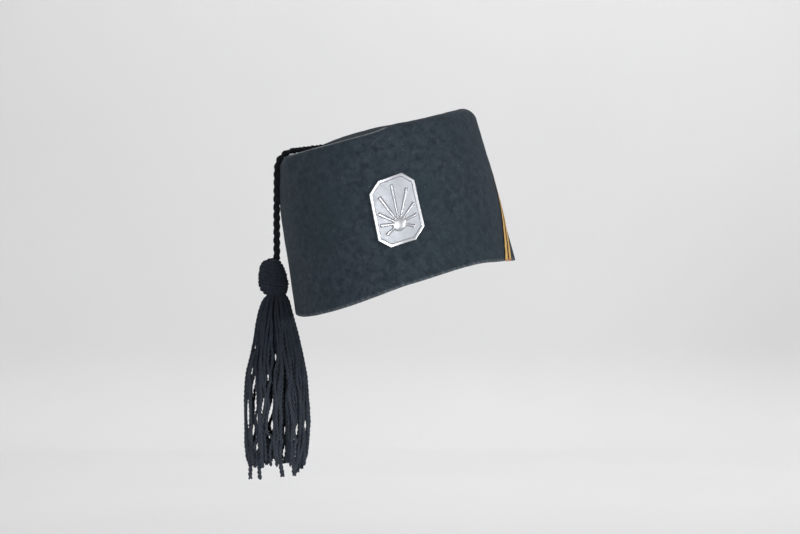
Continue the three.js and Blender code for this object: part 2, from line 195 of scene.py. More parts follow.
def yarnPiece(name, lines, thickness, rounding=1):  # lines are (points, share of the thickness at each point)
    curve = bpy.data.curves.new(name, "CURVE")
    curve.dimensions = "3D"
    curve.bevel_depth = thickness / 2
    curve.bevel_resolution = rounding
    curve.use_fill_caps = True
    for points, share in lines:
        spline = curve.splines.new("POLY")
        spline.points.add(len(points) - 1)
        spline.points.foreach_set("co", np.column_stack([points, np.ones(len(points))]).ravel())
        spline.points.foreach_set("radius", np.broadcast_to(share, len(points)).astype(float))
    piece = bpy.data.objects.new(name, curve)
    bpy.context.collection.objects.link(piece)
    pick(piece)
    bpy.ops.object.convert(target="MESH")
    bpy.ops.object.shade_smooth()
    return bpy.context.object


def plied(line, across, up, radius, pitch, plies=3, start=0.0):  # yarns twisted round a line; radius may vary
    along = np.concatenate([[0], np.cumsum(np.linalg.norm(np.diff(line, axis=0), axis=1))])
    radius = np.broadcast_to(radius, len(line))[:, None]
    made = []
    for ply in range(plies):
        turn = (start + 2 * math.pi * (along / pitch + ply / plies))[:, None]
        made.append(line + radius * plyReach * (np.cos(turn) * across + np.sin(turn) * up))
    return made


def shadeOf(red, green, blue):  # a colour as seen on screen, for the shaders
    def linear(value):
        value /= 255
        return value / 12.92 if value <= 0.04045 else ((value + 0.055) / 1.055) ** 2.4
    return (linear(red), linear(green), linear(blue), 1.0)


# Camera: in front of the hat, a little higher than its top
cameraSetup = {
    "place": (-0.0041, -2.3, 0.120),
    "aim": (-0.0041, 0.0, 0.0146),
    "lens": 138.1,
}
bpy.ops.object.camera_add(location=cameraSetup["place"])
camera = bpy.context.object
camera.rotation_euler = (Vector(cameraSetup["aim"]) - camera.location).to_track_quat("-Z", "Y").to_euler()
camera.data.lens = cameraSetup["lens"]
camera.data.clip_end = 20
bpy.context.scene.camera = camera
print("camera placed")

# Cord: three plied strands, plaited, from the knot in the crown over the edge to the tassel
cordSetup = {
    "route": [
        (-15.6, 0.9, 105.7), (-18.7, 0.4, 107.6), (-20.8, 0.0, 108.9), (-23.6, -0.4, 110.2),
        (-26.7, -0.9, 110.7), (-29.7, -1.5, 110.4), (-33.8, -2.1, 109.4), (-39.0, -3.0, 108.1),
        (-46.6, -4.3, 106.7), (-54.5, -5.6, 105.4), (-62.4, -6.9, 104.4), (-70.3, -8.2, 103.5),
        (-77.2, -9.3, 102.6), (-82.5, -10.2, 102.0), (-87.8, -11.0, 100.6), (-91.6, -11.6, 97.9),
        (-94.4, -12.0, 93.8), (-95.5, -12.2, 88.6), (-95.7, -12.4, 80.0), (-95.9, -12.5, 66.0),
        (-96.0, -12.5, 52.0), (-96.0, -12.5, 38.0), (-96.0, -12.5, 21.3),
    ],  # in millimetres
    "length": 0.158,
    "diameter": 0.0045,
    "strand": 0.0027, "ply": 0.52,  # a ply's thickness as a share of the strand's
    "wide": 0.00138,  # how far a strand swings to each side
    "deep": 0.00092,  # and in and out, where it crosses the others
    "plait": 0.0185,  # along the cord, until a strand is back in its place
    "twist": 0.0056,
    "edgeTurn": (0.060, 0.100),  # the plait turns its flat side to the front between these lengths
    "holeRoom": 0.0003,
}
cordLine = smoothLine(np.array(cordSetup["route"]) * mm, 0.0006)
cordAcross, cordUp = frameAlong(cordLine, (0, 1, 0))
cordAt = np.linspace(0, 1, len(cordLine)) * np.linalg.norm(np.diff(cordLine, axis=0), axis=1).sum()
turnStart, turnEnd = cordSetup["edgeTurn"]
cordTurn = eased((cordAt - turnStart) / (turnEnd - turnStart))[:, None] * math.pi / 2
cordSide = np.cos(cordTurn) * cordAcross + np.sin(cordTurn) * cordUp
cordFront = np.cos(cordTurn) * cordUp - np.sin(cordTurn) * cordAcross


def plaitedYarns(line, side, front, at, setup):
    lines = []
    for strand in range(3):
        turn = (2 * math.pi * (at / setup["plait"] + strand / 3))[:, None]
        middle = line + side * setup["wide"] * np.sin(turn) + front * setup["deep"] * np.sin(2 * turn)
        for points in plied(middle, side, front, setup["strand"] / 2, setup["twist"], 3, strand * 1.9):
            lines.append((points, 1.0))
    return lines


cord = yarnPiece("tassel_cord_plait", plaitedYarns(cordLine, cordSide, cordFront, cordAt, cordSetup),
                 cordSetup["strand"] * cordSetup["ply"], 2)
print(f"cord plaited, {cordAt[-1] * 1000:.1f} mm")

# Crown: a tube of felt rings, moulded to the hat's form
crownSetup = {
    "rimWidth": 0.170, "rimDepth": 0.202, "height": 0.120, "felt": 0.0025,
    "edgeRadius": 0.011, "dishDepth": 0.009, "lean": 13.5,
    "sides": 240, "wallRings": 44, "edgeRings": 14, "topRings": 18, "lastRing": 0.036,
    "sections": [  # height, width, depth, shift to the wearer's left
        (0.0, 1.0, 1.0, 0.0), (0.17, 0.984, 0.972, 0.003), (0.33, 0.97, 0.946, 0.008),
        (0.5, 0.956, 0.918, 0.011), (0.67, 0.938, 0.89, 0.016), (0.8, 0.918, 0.868, 0.022),
        (0.91, 0.893, 0.848, 0.03),
    ],
    "waves": [  # degrees from the front, how far the rim and the top edge wave up
        (-130, 0.0, -0.034), (-90, 0.0, -0.034), (-64, -0.02, -0.033), (-43, -0.012, -0.0285),
        (-28, 0.004, -0.0275), (-14, 0.025, -0.024), (0, 0.047, -0.0205), (11, 0.054, -0.004),
        (30, 0.065, -0.0115), (45, 0.06, -0.0105), (60, 0.036, -0.0075), (76, 0.018, -0.005),
        (90, 0.0, -0.002), (130, 0.01, -0.006),
        (165, 0.02, 0.0), (180, 0.015, 0.0085), (193, 0.008, 0.006), (205, 0.0, -0.001), (217, 0.0, -0.016),
    ],
    "swell": (-92, 34, 0.78, 0.42, 0.0009),  # the felt bulges: degrees and height with their spreads, how far
    "crease": (-80, 14, 0.5),  # the edge is pinched sharper between these degrees, by this much
    "creaseEase": (16, 18),  # degrees over which the pinch comes and goes
    "foldHighlight": (74, 1.1, 0.0015),  # where on that edge a painted highlight lies along the fold, how strong and how wide
    "rimWorn": (0.45, 0.0009),
    "uneven": 0.0003,  # the felt's surface lies up to this much lower, here and there
    "unevenShares": [(0.5, 1.3), (0.35, 4.1)],  # share and scale of the large and small dents
    "holeDrawn": 0.016,  # so far round the cord's hole the felt is drawn with it
    "cutRound": 0.0005,
}
waves = crownSetup["waves"]
waveRows = [(degrees + 360 * lap, *rest) for lap, rows in ((-1, waves[-3:]), (0, waves), (1, waves[:3]))
            for degrees, *rest in rows]
topHeight = crownSetup["sections"][-1][0]
leaning = Matrix.Rotation(-math.radians(crownSetup["lean"]), 4, "Y")


def waveAt(column, degrees):
    return readSmooth(waveRows, column, (degrees + 130) % 360 - 130)


def creaseAt(degrees):
    (low, high, most), (start, end) = crownSetup["crease"], crownSetup["creaseEase"]
    degrees = (degrees + 180) % 360 - 180
    return float(most * eased((degrees - low) / start) * eased((high - degrees) / end))


def swellAt(degrees, height):
    turn, turnSpread, level, levelSpread, most = crownSetup["swell"]
    away = (degrees - turn + 180) % 360 - 180
    return most * math.exp(-(away / turnSpread) ** 2 - ((height - level) / levelSpread) ** 2)


def crownPoint(degrees, height, turnIn=0.0, spread=1.0, inset=0.0):
    angle, turn = math.radians(degrees), math.radians(turnIn)
    radius = crownSetup["edgeRadius"] - inset
    pinch = 1 - creaseAt(degrees)
    back = radius * (1 - max(0.0, math.cos(turn)) ** pinch) + inset
    rise = radius * max(0.0, math.sin(turn)) ** pinch
    width, depth, shift = (readSmooth(crownSetup["sections"], k, height) for k in (1, 2, 3))
    across = (crownSetup["rimWidth"] * width / 2 - back + swellAt(degrees, height)) * spread
    along = (crownSetup["rimDepth"] * depth / 2 - back) * spread
    lift = waveAt(1, degrees) * (1 - height) + waveAt(2, degrees) * height * spread**2
    dish = crownSetup["dishDepth"] * (1 - spread**2)
    return Vector((crownSetup["rimWidth"] * shift + across * math.sin(angle), -along * math.cos(angle),
                   crownSetup["height"] * (height + lift) + rise - dish))


def wallNormal(degrees, height):
    around = crownPoint(degrees + 1, height) - crownPoint(degrees - 1, height)
    up = crownPoint(degrees, height + 0.04) - crownPoint(degrees, height - 0.04)
    return around.cross(up).normalized()


def onWall(middle, across, up, out):  # across from a middle line, up from the rim and out from the felt
    perDegree = (crownPoint(middle + 1, 0.5) - crownPoint(middle - 1, 0.5)).length / 2
    degrees, height = middle + across / perDegree, up / crownSetup["height"]
    return leaning @ (crownPoint(degrees, height) + wallNormal(degrees, height) * out)


def makeCrown():
    setup = crownSetup
    stations = [(topHeight * k / setup["wallRings"], 0, 1) for k in range(setup["wallRings"] + 1)]
    stations += [(topHeight, 90 * (k + 1) / setup["edgeRings"], 1) for k in range(setup["edgeRings"])]
    stations += [(topHeight, 90, 1 - (k + 1) / setup["topRings"]) for k in range(setup["topRings"] - 1)]
    stations.append((topHeight, 90, setup["lastRing"]))  # left open for the cord
    clearSelection()
    bpy.ops.mesh.primitive_circle_add(vertices=setup["sides"], radius=1)
    crown = bpy.context.object
    editAll(crown)
    for _ in stations[1:]:  # one ring a level, so that a vertex's height says which station it belongs to
        extruded(0, 0, 1)
    outwards()
    points = []
    for x, y, z in coordinates(crown):
        height, turnIn, spread = stations[int(round(z))]
        degrees = math.degrees(math.atan2(x, -y))
        place = Vector((x * 3, y * 3, height * 4 + turnIn / 90 + (1 - spread) * 3))
        dent = 0.5 + sum(part * noise.noise(place * scale) for part, scale in setup["unevenShares"])
        points.append(leaning @ crownPoint(degrees, height, turnIn, spread, max(0.0, setup["uneven"] * dent)))
    moveVertices(crown, points)
    return crown


def openPinHole(crown, place, radius):  # takes out one vertex of the wall and rounds the hole that it leaves
    into = place.inverted()
    local = [into @ v.co for v in crown.data.vertices]
    nearest = min(range(len(local)), key=lambda k: local[k].length)
    ring = {k for f in crown.data.polygons if nearest in f.vertices for k in f.vertices} - {nearest}
    for k in ring:
        crown.data.vertices[k].co = place @ Vector((*(local[k].xy.normalized() * radius), local[k].z))
    editWhere(crown, "VERT", lambda v: v.index == nearest)
    bpy.ops.mesh.delete(type="VERT")
    objectMode()


def thickenCrown(crown):
    setup = crownSetup
    outside = len(crown.data.vertices)
    wall = crown.modifiers.new("wall", "SOLIDIFY")
    wall.thickness, wall.offset, wall.use_even_offset = setup["felt"], -1, True
    applyAll(crown)
    # The open ring in the top is drawn round the cord, which goes through the felt at a slant
    pole, out = leaning @ crownPoint(0, topHeight, 90, 0), leaning.to_3x3() @ Vector((0, 0, 1))
    radius = cordSetup["diameter"] / 2 + cordSetup["holeRoom"]
    ringFar, skinDeep = 0.0026, 0.004
    points = coordinates(crown)
    for skin, level in ((slice(0, outside), 0), (slice(outside, None), -setup["felt"])):
        first = int(np.argmax((cordLine - np.array(pole)) @ np.array(out) >= level))
        through = Vector(cordLine[first + 1] - cordLine[first - 1]).normalized()
        slant = (through - out * through.dot(out)).normalized()
        side = out.cross(slant)
        middle = Vector(cordLine[first]) - pole
        flat = points[skin] - np.array(pole)
        a, b = flat @ np.array(slant), flat @ np.array(side)
        turn, far = np.arctan2(b, a), np.hypot(a, b)
        wantA = middle.dot(slant) + radius / through.dot(out) * np.cos(turn)
        wantB = middle.dot(side) + radius * np.sin(turn)
        inSkin = np.abs(flat @ np.array(out) - level) < skinDeep
        share = (1 - eased((far - ringFar) / setup["holeDrawn"])) * inSkin
        moveA = share * (wantA - ringFar * np.cos(turn))
        moveB = share * (wantB - ringFar * np.sin(turn))
        points[skin] += moveA[:, None] * np.array(slant) + moveB[:, None] * np.array(side)
    moveVertices(crown, points)
    addBevel(crown, setup["cutRound"], 3, 55)
    applyAll(crown)
    pick(crown)
    bpy.ops.object.shade_smooth_by_angle(angle=math.radians(50))


def wearAndHighlightOnEdges(crown):  # pale wear along the cut rim, and a painted highlight along the pinched top edge, where it would catch the light
    low, high = crownSetup["crease"][:2]
    (rimMost, rimWide), (turn, foldMost, foldWide) = crownSetup["rimWorn"], crownSetup["foldHighlight"]
    rim = KDTree(720)
    for k in range(720):
        rim.insert(leaning @ crownPoint(k // 2, 0, 0, 1, crownSetup["felt"] * (k % 2)), k)
    fold = KDTree(200)
    for k in range(200):
        fold.insert(leaning @ crownPoint(low + 8 + (high - low - 16) * k / 199, topHeight, turn), k)
    rim.balance()
    fold.balance()
    return [max(rimMost * math.exp(-(rim.find(p)[2] / rimWide) ** 2),
                foldMost * math.exp(-(fold.find(p)[2] / foldWide) ** 2)) for p in coordinates(crown)]


crown = makeCrown()
print(f"crown moulded, {len(crown.data.polygons)} faces")

# Plaque: a cast plate with a raised border and a fan of ribs, modelled flat and then bent on to the felt
badgeSetup = {
    "width": 0.034, "height": 0.052, "plate": 0.0011, "relief": 0.0009, "border": 0.0022, "corner": 0.008,
    "bossRadius": 0.0055, "bossLevel": 0.3, "ribWidth": 0.0032, "ribRoot": 0.0014,
    "ribRidge": 0.45,  # how wide a rib's top is, as a share of its foot
    "ribs": [(-118, 0.22), (-78, 0.26), (-48, 0.34), (-23, 0.5), (0, 0.58), (23, 0.5), (48, 0.34), (78, 0.26),
             (118, 0.22)],  # degrees from straight up, length as a share of the height
    "turn": 4, "level": 0.476, "gap": 0.0003,
    "pinRadius": 0.0015, "pinPlateRadius": 0.007, "pinPlate": 0.0015, "pinPlateGap": 0.0007,
    "pinDish": [(0.0018, 0.0), (0.0006, -0.0003)],  # the plate's back is dished: width and depth of each step
    "pinRound": 0.00018, "grain": 0.00024,
}


def badgePlace():
    setup = badgeSetup
    out = wallNormal(setup["turn"], setup["level"])
    across = Vector((0, 0, 1)).cross(out).normalized()
    up = out.cross(across)
    basis = Matrix((across, up, out)).transposed().to_4x4()
    return leaning @ Matrix.Translation(crownPoint(setup["turn"], setup["level"])) @ basis


def makeBadge():
    setup = badgeSetup
    peak = setup["plate"] + setup["relief"]
    clearSelection()
    bpy.ops.mesh.primitive_plane_add(size=1)
    plate = bpy.context.object
    plate.scale = (setup["width"], setup["height"], 1)
    placed(plate)
    editAll(plate)
    bpy.ops.mesh.bevel(offset=setup["corner"], affect="VERTICES", segments=1)
    bpy.ops.mesh.select_all(action="SELECT")
    extruded(0, 0, peak)
    bpy.ops.mesh.inset(thickness=setup["border"], depth=0)
    extruded(0, 0, -setup["relief"])
    outwards()

    bossUp = (setup["bossLevel"] - 0.5) * setup["height"]
    parts = [plate]
    for turn, length in setup["ribs"]:
        start, end = setup["bossRadius"] / 2, length * setup["height"]
        clearSelection()
        bpy.ops.mesh.primitive_cube_add(size=1)
        rib = bpy.context.object
        rib.scale = (setup["ribWidth"], end - start, setup["plate"] / 2 + setup["relief"])
        rib.location = (0, (start + end) / 2, setup["plate"] / 2 + rib.scale.z / 2)
        placed(rib)
        points = coordinates(rib)
        points[points[:, 1] < start + 0.1 * mm, 0] *= setup["ribRoot"] / setup["ribWidth"]
        points[points[:, 2] > peak - 0.1 * mm, 0] *= setup["ribRidge"]
        moveVertices(rib, points)
        rib.rotation_euler = (0, 0, -math.radians(turn))
        rib.location = (0, bossUp, 0)
        parts.append(placed(rib))
    clearSelection()
    bpy.ops.mesh.primitive_uv_sphere_add(segments=48, ring_count=24, radius=setup["bossRadius"])
    boss = bpy.context.object
    boss.scale = (1, 1, setup["plate"] / setup["bossRadius"] * 1.25)
    boss.location = (0, bossUp, setup["plate"])
    parts.append(placed(boss))
    badge = joined("badge_plaque", *parts)
    cast = badge.modifiers.new("cast", "REMESH")
    cast.mode, cast.voxel_size = "VOXEL", setup["grain"]
    worn = badge.modifiers.new("worn", "SMOOTH")
    worn.factor, worn.iterations = 0.5, 4
    badge.modifiers.new("light", "DECIMATE").ratio = 0.55
    applyAll(badge)
    flat = coordinates(badge)
    level = setup["level"] * crownSetup["height"]
    moveVertices(badge, [onWall(setup["turn"], x, level + y, setup["gap"] + max(0.0, z)) for x, y, z in flat])
    addMask(badge, "raised", eased((flat[:, 2] - setup["plate"]) / setup["relief"] * 1.3))
    pick(badge)
    bpy.ops.object.shade_smooth()
    return badge


def makePin():
    setup = badgeSetup
    plateTop = -crownSetup["felt"] - setup["pinPlateGap"]
    clearSelection()
    bpy.ops.mesh.primitive_cylinder_add(vertices=40, radius=setup["pinPlateRadius"], depth=setup["pinPlate"],
                                        location=(0, 0, plateTop - setup["pinPlate"] / 2))
    pin = placed(bpy.context.object)
    editWhere(pin, "FACE", lambda face: face.normal.z > 0.9)
    bpy.ops.mesh.inset(thickness=setup["pinPlateRadius"] - setup["pinRadius"])
    extruded(0, 0, -plateTop)
    objectMode()
    editWhere(pin, "FACE", lambda face: face.normal.z < -0.9)
    for wide, deep in setup["pinDish"]:
        bpy.ops.mesh.inset(thickness=wide, depth=deep)
    objectMode()
    addBevel(pin, setup["pinRound"], 2, 40)
    applyAll(pin)
    place = badgePlace()
    moveVertices(pin, [place @ Vector(p) for p in coordinates(pin)])
    pick(pin)
    bpy.ops.object.shade_smooth_by_angle(angle=math.radians(35))
    return joined("badge_pin_turned", pin)


openPinHole(crown, badgePlace(), badgeSetup["pinRadius"] + 2 * badgeSetup["gap"])
thickenCrown(crown)
joined("crown_felt", crown)
# the mask holds pale wear on the cut rim and a painted highlight on the fold of the top edge
addMask(crown, "rimWearAndFoldHighlight", wearAndHighlightOnEdges(crown))
badge, badgePin = makeBadge(), makePin()
print(f"plaque cast and bent, {len(badge.data.polygons)} faces")

# Ribbon: two straight legs that meet in a mitred point, sewn flat on the felt
ribbonSetup = {
    "width": 0.012, "thickness": 0.00045, "foot": 67.5, "apex": 97, "rise": 0.075,
    "hem": 0.0005, "gap": 0.00006, "across": 12, "along": 96, "edgeRound": 0.00014,
    "fold": (0.0002, 0.0013),  # the mitred fold in the point: how thick and how wide
    "waver": 0.00007, "fringe": (0.0010, 0.0026),
    "fray": 64, "frayThickness": 0.0003,
}


def ribbonShape():  # from the point to a foot along the rim, and the slope of a leg
    apex = ribbonSetup["apex"]
    perDegree = (crownPoint(apex + 1, 0.5) - crownPoint(apex, 0.5)).length
    foot = (apex - ribbonSetup["foot"]) * perDegree
    return foot, math.atan2(ribbonSetup["rise"], foot)


def makeRibbon():
    setup = ribbonSetup
    foot, slope = ribbonShape()
    length = math.hypot(foot, setup["rise"]) + 0.03
    clearSelection()
    bpy.ops.mesh.primitive_grid_add(x_subdivisions=setup["along"], y_subdivisions=setup["across"], size=1)
    ribbon = bpy.context.object
    ribbon.scale = (length, setup["width"], 1)
    ribbon.location = (-length / 2 + 0.015, 0, 0)
    placed(ribbon)
    weave = ribbon.data.uv_layers[0]
    flat = coordinates(ribbon)
    for loop in ribbon.data.loops:  # across the ribbon and along it, in widths
        x, y, _ = flat[loop.vertex_index]
        weave.data[loop.index].uv = (y / setup["width"] + 0.5, x / setup["width"])
    ribbon.rotation_euler = (0, 0, slope)
    ribbon.location = (0, setup["rise"], 0)  # its middle line ends in the point
    placed(ribbon)
    editAll(ribbon)
    bpy.ops.mesh.bisect(plane_co=(0, 0, 0), plane_no=(1, 0, 0), clear_outer=True)
    bpy.ops.mesh.select_all(action="SELECT")
    bpy.ops.mesh.bisect(plane_co=(0, setup["hem"], 0), plane_no=(0, 1, 0), clear_inner=True)
    objectMode()
    other = ribbon.modifiers.new("other", "MIRROR")
    other.use_axis[0], other.merge_threshold = True, 0.00005
    cloth = ribbon.modifiers.new("cloth", "SOLIDIFY")
    cloth.thickness, cloth.offset = setup["thickness"], 1
    addBevel(ribbon, setup["edgeRound"], 2, 50)
    applyAll(ribbon)
    bent, (foldThick, foldWide) = [], setup["fold"]
    for x, y, z in coordinates(ribbon):
        fold = foldThick * math.exp(-(x / foldWide) ** 2)
        waver = setup["waver"] * math.sin(y / 0.0061) * math.sin(y / 0.0023 + x * 400)
        bent.append(onWall(setup["apex"], x, y, setup["gap"] + z * (1 + (fold + waver) / setup["thickness"])))
    moveVertices(ribbon, bent)
    pick(ribbon)
    bpy.ops.object.shade_smooth_by_angle(angle=math.radians(40))
    return joined("ribbon_striped", ribbon)


def makeFray():  # short cut threads at the ribbon's two feet
    setup = ribbonSetup
    foot, slope = ribbonShape()
    half = setup["width"] / 2 / math.sin(slope)
    lines, shares = [], []
    for side in (-1, 1):
        for k in range(setup["fray"] // 2):
            share = (k + 0.5 + dice.uniform(-0.3, 0.3)) / (setup["fray"] // 2)
            x = side * (foot - setup["hem"] / math.tan(slope)) + (share - 0.5) * 2 * half * side
            out = setup["gap"] + setup["thickness"] * dice.uniform(0.2, 0.85)
            drop, sway = dice.uniform(*setup["fringe"]), dice.uniform(-0.5, 0.5) * mm
            top = setup["hem"] + 0.6 * mm
            points = [onWall(setup["apex"], x + sway * t * t, top - drop * t, out + 0.3 * mm * t)
                      for t in (0, 0.3, 0.6, 1)]
            lines.append((np.array(points), [1, 1, 0.9, 0.6]))
            shares.append(share)
    fray = yarnPiece("ribbon_fray", lines, setup["frayThickness"], 0)
    perThread = len(fray.data.vertices) // len(lines)
    addMask(fray, "acrossRibbon", np.repeat(shares, perThread))
    return fray


ribbon, fray = makeRibbon(), makeFray()
print(f"ribbon sewn on, {len(ribbon.data.polygons)} faces")

# Knot: the cord's stopper inside the crown, a plaited ring drawn tight to a ball
knotSetup = {
    "width": 0.0086, "height": 0.007, "grip": 0.0013, "yarn": 0.0021, "leads": 3, "bights": 5, "reach": 62,
    "weave": 0.00042, "coreShare": 0.72, "twist": 0.0048, "ply": 0.52,
}


def makeKnot():
    setup = knotSetup
    start = Vector(cordLine[0])
    along = (Vector(cordLine[1]) - start).normalized()
    place = Matrix.Translation(start) @ along.to_track_quat("Z", "Y").to_matrix().to_4x4()
    middle = place @ Matrix.Translation((0, 0, setup["grip"] - setup["height"] / 2))
    turns = np.linspace(0, 2 * math.pi * setup["leads"], 260)
    level = np.radians(setup["reach"]) * np.sin(setup["bights"] * turns / setup["leads"])
    lift = setup["weave"] * np.sin(2 * setup["bights"] * turns / setup["leads"])
    wide, high = setup["width"] / 2 - setup["yarn"] / 2, setup["height"] / 2 - setup["yarn"] / 2
    radius = (wide + lift) * np.cos(level)
    line = np.stack([radius * np.cos(turns), radius * np.sin(turns), (high + lift) * np.sin(level)], axis=1)
    across, up = frameAlong(line, (0, 0, 1))
    lines = [(points, 1.0) for points in plied(line, across, up, setup["yarn"] / 2, setup["twist"])]
    wraps = yarnPiece("knotWraps", lines, setup["yarn"] * setup["ply"])
    clearSelection()
    bpy.ops.mesh.primitive_uv_sphere_add(segments=32, ring_count=16,
                                         radius=setup["width"] / 2 * setup["coreShare"])
    core = bpy.context.object
    core.scale.z = setup["height"] / setup["width"]
    placed(core)
    bpy.ops.object.shade_smooth()
    knot = joined("cord_knot_tied", wraps, core)
    moveVertices(knot, [middle @ Vector(p) for p in coordinates(knot)])
    return knot


knot = makeKnot()
print("knot tied")

# Tassel: a wound head on the cord's end, and strands of yarn that fan out from its neck
tasselSetup = {
    "headWidth": 0.023, "headDepth": 0.022, "headHeight": 0.026, "cordGap": 0.0003,
    "headSections": [  # drop, width, shift
        (0.0, 0.22, 0.0), (0.04, 0.44, -0.1), (0.15, 0.7, -0.14), (0.34, 0.9, -0.13), (0.52, 0.98, -0.12),
        (0.7, 1.0, -0.12), (0.84, 0.95, -0.11), (0.94, 0.82, -0.08), (1.0, 0.66, -0.04),
    ],
    "winding": 0.0026, "windingTilt": 0.0026, "windingStep": 0.86, "windingTwist": 0.0058, "windingPly": 0.58,
    "loose": 0.0007, "bulge": 0.0009,  # how far the windings stray up and down, and in and out
    "skirtWidth": 0.044, "skirtDepth": 0.036, "skirtLength": 0.139,
    "skirtSections": [
        (0.0, 0.25, 0.0), (0.03, 0.4, -0.015), (0.08, 0.5, -0.024), (0.16, 0.59, -0.02), (0.27, 0.69, -0.006),
        (0.38, 0.84, -0.012), (0.47, 0.92, -0.012), (0.61, 0.98, -0.006), (0.73, 1.0, 0.0),
        (0.83, 0.97, -0.004), (1.0, 0.84, -0.012),
    ],
    "locks": [(17, 1.0, 4, 0.0012), (9, 0.52, 5, 0.0)],  # how many, reach, strands in each, stand
    "lockWide": 0.0023, "lockDeep": 0.0015,  # half the size of a lock
    "yarn": 0.0025, "longYarn": 1.34, "ply": 0.59, "root": 0.004, "twist": 0.0068, "step": 0.0013,
    "crimp": 0.00115, "lockSway": 0.0017, "opened": 0.35,  # the skirt fans out over this share
    "hem": [  # where the ends hang: across and height, in millimetres
        (-122, -127), (-117, -134), (-114, -137), (-110, -136.5), (-105, -135), (-102, -133), (-97, -134),
        (-90, -134), (-85, -134.5), (-80, -139), (-76, -137), (-73, -127), (-70, -121),
    ],
    "longEnds": [(-116.3, -144.0), (-108.8, -144.0), (-93.6, -141.0), (-80.3, -140.6), (-82.2, -139.0)],
    "openings": [  # across at the upper and lower end, upper and lower height, width, all in millimetres
        (-118.2, -118.0, -81.5, -107.0, 1.9), (-114.8, -116.0, -58.0, -68.0, 1.3),
        (-112.8, -114.9, -66.0, -79.5, 1.6), (-112.4, -112.8, -83.5, -92.0, 1.3),
        (-106.2, -108.5, -80.5, -98.0, 1.6), (-99.7, -103.2, -85.0, -102.5, 2.9),
        (-100.0, -100.6, -99.5, -108.0, 1.9), (-114.2, -114.4, -102.0, -113.0, 1.5),
        (-102.0, -102.0, -110.0, -115.5, 1.8), (-95.0, -95.0, -111.0, -116.0, 1.0),
        (-111.5, -111.4, -115.0, -121.5, 1.6), (-90.8, -91.8, -118.5, -127.5, 1.6),
        (-82.6, -82.3, -103.5, -108.5, 1.3), (-84.0, -83.8, -111.0, -115.0, 1.1),
        (-75.6, -75.2, -98.5, -107.5, 1.5), (-103.2, -103.0, -63.5, -70.5, 1.4),
        (-97.6, -97.5, -49.0, -56.5, 1.1), (-112.8, -112.8, -43.0, -47.0, 1.0),
    ],
}
tasselTop = Vector(cordLine[-1]) - Vector((0, 0, tasselSetup["cordGap"]))
neck = tasselTop - Vector((0, 0, tasselSetup["headHeight"]))


def headPoint(turn, drop, inset=0.0):
    setup = tasselSetup
    width, shift = (readSmooth(setup["headSections"], k, drop) for k in (1, 2))
    return Vector((
        tasselTop.x + shift * setup["headWidth"] + (width * setup["headWidth"] / 2 - inset) * math.cos(turn),
        tasselTop.y + (width * setup["headDepth"] / 2 - inset) * math.sin(turn),
        tasselTop.z - setup["headHeight"] * drop,
    ))


def makeHead():
    setup = tasselSetup
    clearSelection()
    bpy.ops.mesh.primitive_uv_sphere_add(segments=48, ring_count=32, radius=1)
    ball = bpy.context.object
    points = []
    for x, y, z in coordinates(ball):
        drop = 0.5 - math.asin(max(-1, min(1, z))) / math.pi
        point = headPoint(math.atan2(y, x), drop, setup["winding"] * 0.55)
        if abs(z) > 0.9999:  # the ball's poles
            point.x = tasselTop.x + readSmooth(setup["headSections"], 2, drop) * setup["headWidth"]
            point.y = tasselTop.y
        points.append(point)
    moveVertices(ball, points)
    pick(ball)
    bpy.ops.object.shade_smooth()
    # The profile's length sets how many turns the winding takes
    profile = [headPoint(0, drop, setup["winding"] / 2) for drop in np.linspace(0, 1, 81)]
    run = np.concatenate([[0], np.cumsum([(b - a).length for a, b in zip(profile, profile[1:])])])
    perTurn = 40
    steps = int(run[-1] / (setup["winding"] * setup["windingStep"])) * perTurn
    line = []
    for k in range(steps):
        turn = 2 * math.pi * k / perTurn
        drop = float(np.interp(run[-1] * k / steps, run, np.linspace(0, 1, 81)))
        point = headPoint(turn, drop, setup["winding"] / 2)
        loose = setup["loose"] * noise.noise(Vector((k / 17, 3, 5)))
        bulge = setup["bulge"] * noise.noise(Vector((k / 9, 7, 2)))
        point += Vector((math.cos(turn), math.sin(turn), 0)) * bulge * math.sin(math.pi * drop)
        point.z += math.sin(math.pi * drop) * (setup["windingTilt"] * math.cos(turn - 2.4) + loose)
        line.append(point)
    line = np.array(line)
    across, up = frameAlong(line, (0, 0, 1))
    plies = plied(line, across, up, setup["winding"] / 2, setup["windingTwist"], 2)
    windings = yarnPiece("headWindings", [(points, 1.0) for points in plies],
                         setup["winding"] * setup["windingPly"])
    return joined("tassel_head", windings, ball)


def sidewaysWave(seed, drop):  # slow bends and small crimps, the same for a seed each time
    return sum(size * noise.noise(Vector((seed, drop * often, other)))
               for size, often, other in ((1.7, 3.4, 0.5), (0.9, 9, 8.5), (0.3, 25, 4.5)))


def strandLine(lockTurn, reach, stand, offset, seed, lockSeed):
    setup = tasselSetup
    out = Vector((math.cos(lockTurn), math.sin(lockTurn)))
    side = Vector((-out.y, out.x))
    squash = setup["skirtDepth"] / setup["skirtWidth"]
    line = []
    for down in np.arange(-setup["root"], setup["skirtLength"] + setup["step"], setup["step"]):
        drop = max(0.0, down / setup["skirtLength"])
        half = setup["skirtWidth"] * reach * readSmooth(setup["skirtSections"], 1, drop) / 2
        opened = float(eased(drop / setup["opened"]))
        half += stand * opened
        swirl = offset[2] + drop * offset[3]
        spread = (0.35 + 0.65 * opened) * (1 + 0.25 * eased((drop - 0.7) / 0.3))
        crimp = setup["crimp"] * opened
        sway = setup["lockSway"] * opened * 2 * noise.noise(Vector((lockSeed, drop * 4.2, 2.5)))
        tangent = spread * offset[0] * math.cos(swirl) + crimp * sidewaysWave(seed, drop) * 1.5 + sway
        radial = spread * offset[1] * math.sin(swirl) + crimp * sidewaysWave(seed + 40, drop) * 0.7
        x = neck.x + setup["skirtWidth"] * readSmooth(setup["skirtSections"], 2, drop) + half * out.x
        y = neck.y + half * squash * out.y
        aside = side * tangent + out * radial
        line.append((x + aside.x, y + aside.y, neck.z - down))
    return np.array(line)


